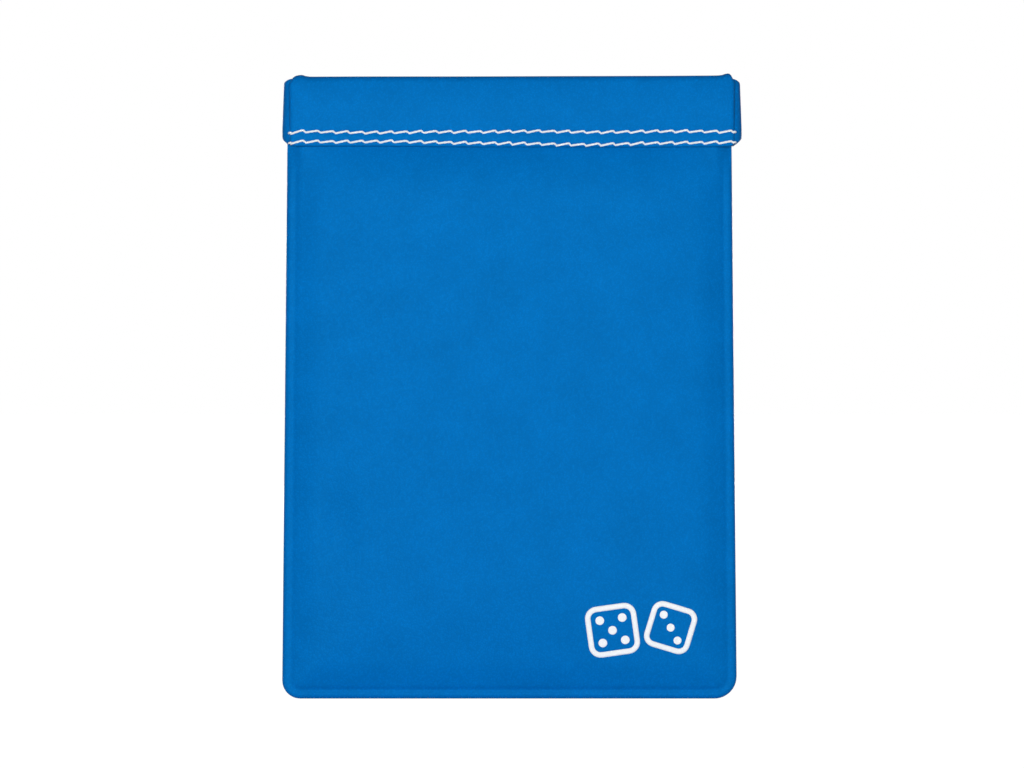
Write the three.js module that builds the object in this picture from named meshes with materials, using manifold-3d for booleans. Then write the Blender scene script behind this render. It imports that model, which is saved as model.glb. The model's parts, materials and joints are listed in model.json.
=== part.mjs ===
// A flat squeeze-top pouch. Two panels are sewn together round the sides and the bottom, and a
// cuff folded over a flexible spring frame runs along the mouth, held by two rows of topstitching.
// Millimetres, +Z up, front towards -Y, origin at the middle of the bottom edge.
import * as THREE from "three";
import { mergeVertices } from "three/addons/utils/BufferGeometryUtils.js";
import Module from "manifold-3d";

const wasm = await Module();
wasm.setup();

// Driving dimensions
const HEIGHT = 143.5; // bottom edge to the top of the cuff's fold
const CUFF_DROP = 16.7; // top of the fold to the cuff's lower edge
const BAG_TOP_HALF = 51; // half width of the bag just under the cuff
const BAG_BASE_HALF = 52; // half width above the bottom corners
const CORNER = 5.3; // radius of the bottom corners
const LEATHER = 0.85; // thickness of one ply
const GAP = 0.3; // left between pieces that touch
const SWELL = 4.3; // front of the flat middle of a panel, from the mid-plane
const RIM = 2.2; // front of a panel at its edges, from the mid-plane
const SWELL_RUN = 24; // distance over which a panel swells from its edge to its flat middle
const SEAM_WIDTH = 4.5; // width of the turned-in edge
const SEAM_HALF = 1; // half thickness of the two turned-in plies together
const PLY_IN = 0.15; // inner face of a turned-in ply, from the mid-plane
const CHANNEL_DEEP = 0.5; // depth of the line that the seam thread lies in
const CUFF_OUT = 3.45; // outer face of the closed cuff, from the mid-plane
const CUFF_IN = 0.15; // inner face of the closed cuff, from the mid-plane
const PIN_X = 50.3; // hinge pins, either side of the middle
const PIN_R = 0.6;
const FLEX_X = 10; // where the cuff and the spring bend, either side of the middle
const FLEX_GAP = 0.55; // half of the space left at each bend
const STRIP_Y = 1.6; // middle of a spring strip, from the mid-plane
const STRIP_T = 0.5;
const STRIP_LOW = 131.7;
const STRIP_TALL = 10;
const THREAD = 0.45;
const THREAD_LIFT = 0.15; // thread over the face that it lies on
const STITCH = 3.4; // length of one topstitch
const ROW_DROPS = [13.1, 15.9]; // topstitch rows, below the top of the fold

// Places that follow from them
const CUFF_LOW = HEIGHT - CUFF_DROP;
const BAG_TOP = CUFF_LOW - GAP;
const SLEEVE_OUT = CUFF_OUT - LEATHER - GAP;
const SLEEVE_IN = SLEEVE_OUT - 0.8;
const KNUCKLE_OUT = SLEEVE_IN - GAP;
const KNUCKLE_BORE = PIN_R + 0.1;
const STRIP_HIGH = STRIP_LOW + STRIP_TALL;
const KNUCKLE = (STRIP_TALL - 2 * GAP) / 3;

const group = new THREE.Group();
const leather = finish(0x0572c0, 0.6, 0);
const thread = finish(0xf4f4f2, 0.7, 0);
const steel = finish(0xb9bdc2, 0.3, 1);
const seamThread = finish(0x0a5ea6, 0.7, 0);

function finish(color, roughness, metalness) {
  return new THREE.MeshStandardMaterial({ color, roughness, metalness });
}

// ---- solids and booleans ----

function solidOf(geometry) {
  const bare = geometry.clone();
  bare.deleteAttribute("normal");
  bare.deleteAttribute("uv");
  const merged = mergeVertices(bare, 1e-4);
  return new wasm.Manifold(
    new wasm.Mesh({
      numProp: 3,
      vertProperties: merged.attributes.position.array,
      triVerts: new Uint32Array(merged.index.array),
    }),
  );
}

function geometryOf(solid) {
  const made = solid.getMesh();
  const geometry = new THREE.BufferGeometry();
  const points = new Float32Array(made.vertProperties);
  geometry.setAttribute("position", new THREE.BufferAttribute(points, 3));
  geometry.setIndex(new THREE.BufferAttribute(new Uint32Array(made.triVerts), 1));
  const faceted = geometry.toNonIndexed();
  faceted.computeVertexNormals();
  return faceted;
}

function box(x0, x1, y0, y1, z0, z1) {
  const geometry = new THREE.BoxGeometry(x1 - x0, y1 - y0, z1 - z0);
  return geometry.translate((x0 + x1) / 2, (y0 + y1) / 2, (z0 + z1) / 2);
}

function cut(geometry, ...tools) {
  let solid = solidOf(geometry);
  for (const tool of tools) solid = solid.subtract(solidOf(tool));
  return geometryOf(solid);
}

function join(geometry, ...others) {
  let solid = solidOf(geometry);
  for (const other of others) solid = solid.add(solidOf(other));
  return geometryOf(solid);
}

function common(a, b) {
  return geometryOf(solidOf(a).intersect(solidOf(b)));
}

// ---- outlines and sweeps ----

function arc(x, y, r, from, to, steps) {
  return Array.from({ length: steps + 1 }, (_, i) => {
    const angle = from + ((to - from) * i) / steps;
    return new THREE.Vector2(x + r * Math.cos(angle), y + r * Math.sin(angle));
  });
}

function outline(...points) {
  return new THREE.Shape(points.flat());
}

function at(x, y) {
  return new THREE.Vector2(x, y);
}

// A plan outline (x, y) raised from z0 to z1.
function raise(shape, z0, z1) {
  const options = { depth: z1 - z0, bevelEnabled: false };
  return new THREE.ExtrudeGeometry(shape, options).translate(0, 0, z0);
}

// A section (y, z) swept along X from x0 to x1.
function sweepX(shape, x0, x1) {
  const turn = new THREE.Matrix4().makeBasis(
    new THREE.Vector3(0, 1, 0),
    new THREE.Vector3(0, 0, 1),
    new THREE.Vector3(1, 0, 0),
  );
  return raise(shape, 0, x1 - x0).applyMatrix4(turn).translate(x0, 0, 0);
}

// A front outline (x, z) given depth from y0 to y1.
function sweepY(shape, y0, y1) {
  return raise(shape, 0, y1 - y0).rotateX(Math.PI / 2).translate(0, y1, 0);
}

// The same geometry mirrored left to right, with its faces turned back out.
function mirrored(geometry) {
  const flat = geometry.index ? geometry.toNonIndexed() : geometry.clone();
  flat.scale(-1, 1, 1);
  const p = flat.attributes.position.array;
  for (let i = 0; i < p.length; i += 9) {
    for (let k = 0; k < 3; k++) [p[i + k], p[i + 3 + k]] = [p[i + 3 + k], p[i + k]];
  }
  flat.computeVertexNormals();
  return flat;
}

// ---- the bag ----

// Half width of the bag at height z, inset all round.
function bagHalf(z, inset) {
  const straight = BAG_BASE_HALF + ((BAG_TOP_HALF - BAG_BASE_HALF) * z) / BAG_TOP - inset;
  const r = Math.max(CORNER - inset, 0.4);
  const over = inset + r - z;
  return over > 0 ? straight - r + Math.sqrt(Math.max(r * r - over * over, 0)) : straight;
}

// One edge of the bag from the bottom middle out and up, for a U-shaped strip.
function bagEdge(inset) {
  const r = Math.max(CORNER - inset, 0.4);
  const x = bagHalf(inset + r, inset) - r;
  const corner = arc(x, inset + r, r, -Math.PI / 2, 0, 6);
  return [...corner, at(bagHalf(BAG_TOP, inset), BAG_TOP)];
}

// The U between two insets, round both sides and the bottom.
function uStrip(outside, inside) {
  const out = bagEdge(outside);
  const back = bagEdge(inside).reverse();
  const flip = (points) => points.map((p) => at(-p.x, p.y)).reverse();
  return outline(out, back, flip(back), flip(out));
}

// A smooth rise from 0 at an edge to 1 a run away from it.
function rise(distance) {
  const t = Math.min(Math.max(distance / SWELL_RUN, 0), 1);
  return t * t * (3 - 2 * t);
}

// A swelling shell: rows up the bag, columns across, an outer and an inner skin.
function panelShell() {
  const low = 0.4;
  const steps = [0, 0.5, 1.4, 2.8, 5, 9, 14, 19, SWELL_RUN, 40, 64, 84];
  const heights = steps.map((s) => low + s);
  for (let i = 0; i <= 6; i++) heights.push(BAG_TOP - SWELL_RUN + (SWELL_RUN * i) / 6);
  const across = [0, 0.25, 0.45, 0.56, 0.66, 0.76, 0.85, 0.93, 1];
  const spread = [...across.slice(1).reverse().map((u) => -u), ...across];
  const columns = spread.length;
  const points = [];
  for (const skin of [0, LEATHER]) {
    for (const z of heights) {
      const half = bagHalf(Math.max(z, low), 0);
      for (const u of spread) {
        const x = half * u;
        const up = rise(z - low) * rise(BAG_TOP - z);
        const swell = RIM + (SWELL - RIM) * up * rise(half - Math.abs(x));
        points.push(x, skin - swell, z);
      }
    }
  }
  return closedGrid(points, heights.length, columns);
}

// Triangles for two facing grids of points joined round their borders.
function closedGrid(points, rows, columns) {
  const inner = rows * columns;
  const index = [];
  const quad = (a, b, c, d) => index.push(a, b, c, a, c, d);
  for (let r = 0; r + 1 < rows; r++) {
    for (let c = 0; c + 1 < columns; c++) {
      const a = r * columns + c;
      quad(a, a + 1, a + columns + 1, a + columns);
      quad(inner + a, inner + a + columns, inner + a + columns + 1, inner + a + 1);
    }
    const left = r * columns;
    const right = left + columns - 1;
    quad(left, left + columns, inner + left + columns, inner + left);
    quad(right, inner + right, inner + right + columns, right + columns);
  }
  const top = (rows - 1) * columns;
  for (let c = 0; c + 1 < columns; c++) {
    quad(c, inner + c, inner + c + 1, c + 1);
    quad(top + c, top + c + 1, inner + top + c + 1, inner + top + c);
  }
  const geometry = new THREE.BufferGeometry();
  geometry.setAttribute("position", new THREE.Float32BufferAttribute(points, 3));
  geometry.setIndex(index);
  geometry.computeVertexNormals();
  return geometry;
}

// A piece of the turned-in edge or of its thread: what lies in the given box.
function seamPiece(outside, inside, y0, y1, x0, x1, z0, z1) {
  const strip = sweepY(uStrip(outside, inside), y0, y1);
  return common(strip, box(x0, x1, -SEAM_HALF - 1, SEAM_HALF + 1, z0, z1));
}

// The channel that the seam thread lies in, let into the front face of the turned-in edge.
function seamChannel() {
  return sweepY(uStrip(1.75, 2.65), -SEAM_HALF - 0.5, -SEAM_HALF + CHANNEL_DEEP);
}

// Both plies along the bottom and round its corners, sewn tight together.
function bottomEdge() {
  const far = BAG_BASE_HALF + 1;
  const edge = seamPiece(0, SEAM_WIDTH, -SEAM_HALF, SEAM_HALF, -far, far, -1, CORNER);
  return cut(edge, seamChannel());
}

// One panel's ply along the right side. The front one has the channel.
function sidePly(isFront) {
  const far = BAG_BASE_HALF + 1;
  const [y0, y1] = isFront ? [-SEAM_HALF, -PLY_IN] : [PLY_IN, SEAM_HALF];
  const ply = seamPiece(0, SEAM_WIDTH, y0, y1, 0, far, CORNER + GAP, HEIGHT);
  return isFront ? cut(ply, seamChannel()) : ply;
}

const THREAD_AT = [2, 2.4, -SEAM_HALF + 0.1, -SEAM_HALF + 0.4];

function bottomThread() {
  const far = BAG_BASE_HALF + 1;
  return seamPiece(...THREAD_AT, -far, far, -1, CORNER);
}

function sideThread() {
  return seamPiece(...THREAD_AT, 0, BAG_BASE_HALF + 1, CORNER + GAP, HEIGHT);
}

// ---- the cuff, for the front; x runs from the middle out to the right ----

// The band's section: outer flange, fold over the top, shorter inner flange.
function cuffSection() {
  const r = (CUFF_OUT - CUFF_IN) / 2;
  const mid = -(CUFF_OUT + CUFF_IN) / 2;
  const turn = HEIGHT - r;
  const innerLow = CUFF_LOW + 0.8;
  return outline(
    at(-CUFF_OUT, CUFF_LOW),
    at(-CUFF_OUT + LEATHER, CUFF_LOW),
    arc(mid, turn, r - LEATHER, Math.PI, 0, 6),
    at(-CUFF_IN - LEATHER, innerLow),
    at(-CUFF_IN, innerLow),
    arc(mid, turn, r, 0, Math.PI, 10),
  );
}

function cuffCenter() {
  const end = FLEX_X - FLEX_GAP;
  return sweepX(cuffSection(), -end, end);
}

// The arm's outline has round corners at the closed end of the cuff.
function cuffArm() {
  const start = FLEX_X + FLEX_GAP;
  const r = 1.2;
  const face = outline(
    at(start, CUFF_LOW),
    arc(PIN_X - r, CUFF_LOW + r, r, -Math.PI / 2, 0, 4),
    arc(PIN_X - r, HEIGHT - r, r, 0, Math.PI / 2, 4),
    at(start, HEIGHT),
  );
  const band = sweepX(cuffSection(), start, PIN_X);
  const rounded = common(band, sweepY(face, -CUFF_OUT - 1, 1));
  const slot = -CUFF_OUT + LEATHER;
  const turn = HEIGHT - (CUFF_OUT - CUFF_IN) / 2;
  const overJoggle = box(PIN_X - 4.4, PIN_X + 1, slot, 1, CUFF_LOW - 1, turn);
  const overPin = box(PIN_X - 1.3, PIN_X + 1, slot, 1, CUFF_LOW - 1, HEIGHT + 1);
  return cut(rounded, overJoggle, overPin);
}

// The sleeve end wraps the hinge from the front flange round towards the back one.
function sleeveEnd() {
  const tail = 1;
  const front = -Math.PI / 2;
  const back = (50 * Math.PI) / 180;
  const plan = outline(
    at(PIN_X - tail, -SLEEVE_OUT),
    arc(PIN_X, 0, SLEEVE_OUT, front, back, 14),
    arc(PIN_X, 0, SLEEVE_IN, back, front, 14),
    at(PIN_X - tail, -SLEEVE_IN),
  );
  return raise(plan, CUFF_LOW + 0.5, HEIGHT - 1.1);
}

// ---- the spring frame, for the front ----

function stripCenter() {
  const end = FLEX_X - FLEX_GAP;
  const half = STRIP_T / 2;
  return box(-end, end, -STRIP_Y - half, -STRIP_Y + half, STRIP_LOW, STRIP_HIGH);
}

// A strip arm bends in to the pin and ends in rolled knuckles at the given levels.
function stripArm(levels) {
  const start = FLEX_X + FLEX_GAP;
  const half = STRIP_T / 2;
  const tongue = PIN_X - 2.6;
  const plan = outline(
    at(start, -STRIP_Y - half),
    at(PIN_X - 4.2, -STRIP_Y - half),
    at(PIN_X - 2.2, -KNUCKLE_OUT),
    at(PIN_X, -KNUCKLE_OUT),
    at(PIN_X, -KNUCKLE_OUT + STRIP_T),
    at(PIN_X - 2, -KNUCKLE_OUT + STRIP_T),
    at(PIN_X - 4, -STRIP_Y + half),
    at(start, -STRIP_Y + half),
  );
  const barrel = outline(arc(PIN_X, 0, KNUCKLE_OUT, 0, 2 * Math.PI * (23 / 24), 23));
  const bore = outline(arc(PIN_X, 0, KNUCKLE_BORE, 0, 2 * Math.PI * (23 / 24), 23));
  const plate = cut(
    raise(plan, STRIP_LOW, STRIP_HIGH),
    box(tongue, PIN_X + 1, -STRIP_Y - 1, 1, STRIP_LOW - 1, STRIP_HIGH + 1),
  );
  const knuckles = levels.map(([low, high]) => join(raise(plan, low, high), raise(barrel, low, high)));
  return cut(join(plate, ...knuckles), raise(bore, STRIP_LOW - 1, STRIP_HIGH + 1));
}

const FRONT_KNUCKLES = [[STRIP_LOW + KNUCKLE + GAP, STRIP_LOW + 2 * KNUCKLE + GAP]];
const BACK_KNUCKLES = [
  [STRIP_LOW, STRIP_LOW + KNUCKLE],
  [STRIP_HIGH - KNUCKLE, STRIP_HIGH],
];

// A pin with a peened head at each end, standing through all the knuckles.
function hingePin() {
  const low = STRIP_LOW - GAP;
  const high = STRIP_HIGH + GAP;
  const head = 0.3;
  const headR = 0.95;
  const profile = [
    at(0, low - head),
    at(headR, low - head),
    at(headR, low),
    at(PIN_R, low),
    at(PIN_R, high),
    at(headR, high),
    at(headR, high + head),
    at(0, high + head),
  ];
  return new THREE.LatheGeometry(profile, 20).rotateX(Math.PI / 2);
}

// ---- topstitching, for the front ----

// Slanted stitches end to end: each climbs, then drops back at its needle hole.
function stitchRow(x0, x1, z) {
  const count = Math.round((x1 - x0) / STITCH);
  const pitch = (x1 - x0) / count;
  const climb = 0.16;
  const middle = [];
  for (let i = 0; i < count; i++) {
    middle.push(at(x0 + pitch * i, z - climb));
    middle.push(at(x0 + pitch * (i + 0.85), z + climb));
  }
  middle.push(at(x1, z - climb));
  const lower = middle.map((p) => at(p.x, p.y - THREAD / 2));
  const upper = middle.map((p) => at(p.x, p.y + THREAD / 2)).reverse();
  const face = -CUFF_OUT - THREAD_LIFT;
  return sweepY(outline(lower, upper), face - THREAD, face);
}

// ---- the assembly ----

function place(parent, name, geometry, material) {
  const mesh = new THREE.Mesh(geometry, material);
  mesh.name = name;
  parent.add(mesh);
  return mesh;
}

// Everything on one side of the mouth. The back is the front turned half round, so that what
// is on its right when seen face on lies on the left of the pouch.
function mouthHalf(face, rightSide, leftSide, knuckles) {
  const half = new THREE.Group();
  const arm = cuffArm();
  const strip = stripArm(knuckles);
  place(half, `${face}_cuff_center`, cuffCenter(), leather);
  place(half, `${face}_cuff_${rightSide}`, arm, leather);
  place(half, `${face}_cuff_${leftSide}`, mirrored(arm), leather);
  place(half, `${face}_spring_center`, stripCenter(), steel);
  place(half, `${face}_spring_${rightSide}`, strip, steel);
  place(half, `${face}_spring_${leftSide}`, mirrored(strip), steel);
  const near = FLEX_X - FLEX_GAP;
  const start = FLEX_X + FLEX_GAP;
  const end = PIN_X - 0.5;
  ROW_DROPS.forEach((drop, i) => {
    const z = HEIGHT - drop;
    const row = `${face}_topstitch_${["upper", "lower"][i]}`;
    place(half, `${row}_center`, stitchRow(-near, near, z), thread);
    place(half, `${row}_${rightSide}`, stitchRow(start, end, z), thread);
    place(half, `${row}_${leftSide}`, stitchRow(-end, -start, z), thread);
  });
  return half;
}

const front = mouthHalf("front", "right", "left", FRONT_KNUCKLES);
const back = mouthHalf("back", "left", "right", BACK_KNUCKLES);
back.rotation.z = Math.PI;
group.add(front, back);

for (const [side, sign] of [["left", -1], ["right", 1]]) {
  const pin = place(group, `${side}_hinge_pin`, hingePin(), steel);
  pin.position.x = sign * PIN_X;
  const wrap = sleeveEnd();
  place(group, `${side}_sleeve_end`, sign > 0 ? wrap : mirrored(wrap), leather);
}

place(group, "front_panel", panelShell(), leather);
const backPanel = place(group, "back_panel", panelShell(), leather);
backPanel.rotation.z = Math.PI;
place(group, "bottom_edge", bottomEdge(), leather);
place(group, "bottom_seam_line", bottomThread(), seamThread);
for (const face of ["front", "back"]) {
  const ply = sidePly(face === "front");
  place(group, `${face}_right_edge`, ply, leather);
  place(group, `${face}_left_edge`, mirrored(ply), leather);
}
place(group, "right_seam_line", sideThread(), seamThread);
place(group, "left_seam_line", mirrored(sideThread()), seamThread);

export default group;
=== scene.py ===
"""A blue leatherette squeeze-frame pouch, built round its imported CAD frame.

Shapes are worked out in millimetres, +Z up, front towards -Y, and scaled to metres when a mesh
is made. What is on the back is built as for the front and turned half round about Z, as it is in
the frame, but the bag's outline and its dents stay on their own side of the pouch.
"""

import json
import math

import bmesh
import bpy
import numpy as np
from mathutils import Matrix, Vector

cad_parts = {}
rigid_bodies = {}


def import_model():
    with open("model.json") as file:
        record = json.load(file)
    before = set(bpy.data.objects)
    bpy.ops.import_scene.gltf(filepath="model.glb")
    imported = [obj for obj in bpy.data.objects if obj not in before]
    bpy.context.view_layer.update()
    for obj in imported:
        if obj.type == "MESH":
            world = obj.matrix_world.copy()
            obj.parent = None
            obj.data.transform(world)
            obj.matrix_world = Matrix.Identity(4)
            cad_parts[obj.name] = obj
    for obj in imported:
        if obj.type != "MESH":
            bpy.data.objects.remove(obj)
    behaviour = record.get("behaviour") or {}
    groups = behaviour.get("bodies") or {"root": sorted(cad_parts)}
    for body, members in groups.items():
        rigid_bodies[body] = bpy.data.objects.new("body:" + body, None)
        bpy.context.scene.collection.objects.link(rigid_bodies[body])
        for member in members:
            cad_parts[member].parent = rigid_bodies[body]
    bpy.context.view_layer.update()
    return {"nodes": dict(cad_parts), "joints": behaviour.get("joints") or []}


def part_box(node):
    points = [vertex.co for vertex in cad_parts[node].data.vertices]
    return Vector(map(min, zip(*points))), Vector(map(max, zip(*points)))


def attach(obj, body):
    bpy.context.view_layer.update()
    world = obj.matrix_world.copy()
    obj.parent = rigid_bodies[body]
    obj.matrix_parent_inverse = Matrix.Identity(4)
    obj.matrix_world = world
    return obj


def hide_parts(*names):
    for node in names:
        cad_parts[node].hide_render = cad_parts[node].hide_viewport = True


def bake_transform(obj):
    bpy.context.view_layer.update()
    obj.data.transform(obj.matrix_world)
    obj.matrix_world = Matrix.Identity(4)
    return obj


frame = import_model()

MM = 0.001
SIDES = {"left": -1, "right": 1}
FACES = {"front": -1, "back": 1}


def span(node):
    """A CAD node's lowest and highest corners in millimetres."""
    low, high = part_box(node)
    return np.array(low) / MM, np.array(high) / MM


# ---- sizes: from the frame where it has them ----

CUFF_BOX = span("front_cuff_center")
STAND = 0.45  # how far the cuff's ends stand above its level top
HEIGHT = CUFF_BOX[1][2] - STAND
CUFF_LOW = CUFF_BOX[0][2]
MOUTH = CUFF_LOW - 0.3  # level at which the panels have to keep to the cuff as the mouth opens
CUFF_OUT = -CUFF_BOX[0][1]
CUFF_IN = -CUFF_BOX[1][1]
PIN_X = sum(span("right_hinge_pin"))[0] / 2
STRIP_BOX = span("front_spring_center")
STRIP_Y = -(STRIP_BOX[0][1] + STRIP_BOX[1][1]) / 2
STRIP_T = STRIP_BOX[1][1] - STRIP_BOX[0][1]
STRIP_LOW, STRIP_HIGH = STRIP_BOX[0][2], STRIP_BOX[1][2]
SWELL = -span("front_panel")[0][1]
ROWS_Z = [sum(span(f"front_topstitch_{row}_center"))[2] / 2 for row in ("upper", "lower")]

CUFF_PLY = 0.85  # thickness of the cuff's leatherette
CUFF_END = 51.0  # end of the cuff's outer flange
FOLD_END = 49.0  # end of its fold
INNER_END = 45.9  # end of its inner flange
BEND_RUN = 34.0  # from the middle, where the cuff and its spring bend as the mouth opens
PANEL_PLY = 0.7
BAG_TOP_HALF = 51.1  # half width of the bag under the cuff
BAG_BASE_HALF = 52.3  # and at its base
BAG_SHIFT = -0.58  # the bag hangs a little to the left of its cuff
CORNERS = {-1: 4.2, 1: 5.2}  # radius of the left and right bottom corners
TUCK_TOP = 131.0  # top of the margin that the cuff covers
SLOT_Y = 2.2  # outer face of that margin
ROLL = 1.0  # radius of the turned edge
EDGE_Y = 0.55  # where the turned edge is widest, from the mid-plane
ROLL_Y = 1.6  # crest of the turned edge, from the mid-plane
SWELL_RUN = 24.0  # half of a panel's swell comes over this distance in from its edge
EDGE_RUN = 8.5  # and the other half over this one
TUCK_RUN = 12.0  # below the cuff, a panel draws in to its slot over this distance
STITCH = 3.38  # pitch of the topstitches
STITCHES = 15  # whole stitches on each side of the middle
THREAD_R = 0.27
CUT_EDGE = 0.3  # thickness left at a ply's cut edge, as a share


def smooth(value):
    t = np.clip(value, 0, 1)
    return t * t * (3 - 2 * t)


def hump(value, middle, width):
    return np.exp(-(((value - middle) / width) ** 2))


# ---- mesh building ----


class Shell:
    """Collects closed bodies in millimetres, then makes one object of them."""

    def __init__(self):
        self.points, self.faces, self.skins, self.grain = [], [], [], []

    def add(self, points, grain):
        first = len(self.points)
        self.points.extend(points.reshape(-1, 3).tolist())
        self.grain.extend(grain.reshape(-1, 2).tolist())
        return first

    def face(self, corners, skin):
        self.faces.append(corners)
        self.skins.append(skin)

    def ply(self, outer, inner, grain, keep=None, loop=False, inner_skin=1):
        """Joins two grids of points (rows, columns, 3) round the cells kept. A loop has no ends."""
        rows, columns = outer.shape[:2]
        cells = columns if loop else columns - 1
        keep = np.ones((rows - 1, cells), bool) if keep is None else keep
        top = self.add(outer, grain)
        under = self.add(inner, grain)

        def at(base, r, c):
            return base + r * columns + c % columns

        def kept(r, c):
            if loop:
                c %= cells
            return 0 <= r < rows - 1 and 0 <= c < cells and keep[r, c]

        for r in range(rows - 1):
            for c in range(cells):
                if not keep[r, c]:
                    continue
                ring = [(r, c), (r, c + 1), (r + 1, c + 1), (r + 1, c)]
                self.face([at(top, *p) for p in ring], 0)
                self.face([at(under, *p) for p in reversed(ring)], inner_skin)
                beside = [(r - 1, c), (r, c + 1), (r + 1, c), (r, c - 1)]
                for k, neighbour in enumerate(beside):
                    if not kept(*neighbour):
                        a, b = ring[k], ring[(k + 1) % 4]
                        wall = [at(top, *b), at(top, *a), at(under, *a), at(under, *b)]
                        self.face(wall, 0)

    def tube(self, rings, grain):
        """Rings of points (rings, sides, 3) joined end to end and capped."""
        count, sides = rings.shape[:2]
        first = self.add(rings, grain)
        for i in range(count - 1):
            for k in range(sides):
                a, b = first + i * sides + k, first + i * sides + (k + 1) % sides
                self.face([a, b, b + sides, a + sides], 0)
        self.face([first + k for k in reversed(range(sides))], 0)
        self.face([first + (count - 1) * sides + k for k in range(sides)], 0)

    def piece(self, name, materials, turned=False):
        """The object, turned half round for the back of the pouch."""
        points = np.array(self.points) * MM
        if turned:
            points[:, :2] *= -1
        mesh = bpy.data.meshes.new(name)
        mesh.from_pydata(points.tolist(), [], self.faces)
        grain = mesh.attributes.new("grain", "FLOAT_VECTOR", "POINT")
        flat = np.column_stack([np.array(self.grain), np.zeros(len(points))])
        grain.data.foreach_set("vector", flat.astype(np.float32).ravel())
        mesh.polygons.foreach_set("material_index", self.skins)
        mesh.polygons.foreach_set("use_smooth", [True] * len(self.faces))
        for material in materials:
            mesh.materials.append(material)
        tidy = bmesh.new()
        tidy.from_mesh(mesh)
        loose = [v for v in tidy.verts if not v.link_faces]
        bmesh.ops.delete(tidy, geom=loose, context="VERTS")
        bmesh.ops.recalc_face_normals(tidy, faces=tidy.faces)
        for edge in tidy.edges:  # where two halves meet, each keeps the skin's own normals
            edge.smooth = any(abs(v.co.x) > 1e-7 for v in edge.verts)
        tidy.to_mesh(mesh)
        tidy.free()
        made = bpy.data.objects.new(name, mesh)
        bpy.context.scene.collection.objects.link(made)
        return made


def mirrored_x(grid, sign):
    """A grid built for the right, put on the side with that sign."""
    return grid * np.array([sign, 1, 1])


def rounded_ply(middle, normals, thick, borders):
    """The two faces of a ply, thinned towards its free borders so that they look cut and soft."""
    edge = thick / 2
    share = np.clip(borders / edge, 0.0, 1.0)
    half = edge * np.maximum(np.sqrt(1 - (1 - share) ** 2), CUT_EDGE)
    return middle + normals * half[..., None], middle - normals * half[..., None]


# ---- materials ----


def material(name, colour, roughness, **sockets):
    made = bpy.data.materials.new(name)
    made.use_nodes = True
    shader = made.node_tree.nodes["Principled BSDF"]
    shader.inputs["Base Color"].default_value = (*colour, 1)
    shader.inputs["Roughness"].default_value = roughness
    for socket, value in sockets.items():
        shader.inputs[socket.replace("_", " ")].default_value = value
    return made


def node(made, kind, values=(), **settings):
    new = made.node_tree.nodes.new(kind)
    for key, value in settings.items():
        setattr(new, key, value)
    for key, value in dict(values).items():
        new.inputs[key].default_value = value
    return new


def wire(made, *pairs):
    for output, target in pairs:
        made.node_tree.links.new(output, target)


def grain_of(made):
    """The unrolled place on the piece, in millimetres, kept with the mesh at every pose."""
    return node(made, "ShaderNodeAttribute", attribute_name="grain").outputs["Vector"]


def mottled(made, place, scale, dark, light):
    """A colour that wanders between two tones."""
    noise = node(made, "ShaderNodeTexNoise", {"Scale": scale, "Detail": 4, "Roughness": 0.6})
    ramp = node(made, "ShaderNodeValToRGB")
    ramp.color_ramp.elements[0].position = 0.3
    ramp.color_ramp.elements[0].color = (*dark, 1)
    ramp.color_ramp.elements[1].position = 0.7
    ramp.color_ramp.elements[1].color = (*light, 1)
    wire(made, (place, noise.inputs["Vector"]), (noise.outputs["Fac"], ramp.inputs["Fac"]))
    return ramp.outputs["Color"]


def bumped(made, height, strength, distance):
    """Links a height to the shader's normal; distance in metres."""
    bump = node(made, "ShaderNodeBump", {"Strength": strength, "Distance": distance})
    shader = made.node_tree.nodes["Principled BSDF"]
    wire(made, (height, bump.inputs["Height"]), (bump.outputs["Normal"], shader.inputs["Normal"]))


def leatherette(name, colour):
    """Pebbled, softly glossy coated cloth. The pebbles are about a third of a millimetre."""
    made = material(name, colour, 0.5, Specular_IOR_Level=0.24, Specular_Tint=(0.04, 0.5, 1, 1))
    shader = made.node_tree.nodes["Principled BSDF"]
    place = grain_of(made)
    pebble = node(
        made, "ShaderNodeTexVoronoi", {"Scale": 2.3, "Smoothness": 0.6}, feature="SMOOTH_F1"
    )
    crease = node(made, "ShaderNodeTexNoise", {"Scale": 1.1, "Detail": 3})
    spread = node(made, "ShaderNodeMath", {1: 0.8}, operation="MULTIPLY")
    height = node(made, "ShaderNodeMath", operation="ADD")
    wire(
        made,
        (place, pebble.inputs["Vector"]),
        (place, crease.inputs["Vector"]),
        (pebble.outputs["Distance"], spread.inputs[0]),
        (spread.outputs[0], height.inputs[0]),
        (crease.outputs["Fac"], height.inputs[1]),
    )
    bumped(made, height.outputs[0], 0.35, 0.00012)
    dark, light = [c * 0.93 for c in colour], [c * 1.05 for c in colour]
    tone = mottled(made, place, 0.09, dark, light)
    # Painted shade: the base colour is darkened towards the borders between the pebbles, the
    # grain's valleys, and lightened at the pebbles' middles.
    valley_painted_shade = node(made, "ShaderNodeMapRange", {1: 0.0, 2: 0.55, 3: 1.05, 4: 0.86})
    shade = node(made, "ShaderNodeMix", {0: 1.0}, data_type="RGBA", blend_type="MULTIPLY")
    gloss = node(made, "ShaderNodeMapRange", {1: 0.3, 2: 0.7, 3: 0.44, 4: 0.58})
    wire(
        made,
        (pebble.outputs["Distance"], valley_painted_shade.inputs[0]),
        (tone, shade.inputs["A"]),
        (valley_painted_shade.outputs[0], shade.inputs["B"]),
        (shade.outputs["Result"], shader.inputs["Base Color"]),
        (crease.outputs["Fac"], gloss.inputs[0]),
        (gloss.outputs[0], shader.inputs["Roughness"]),
    )
    return made


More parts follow.
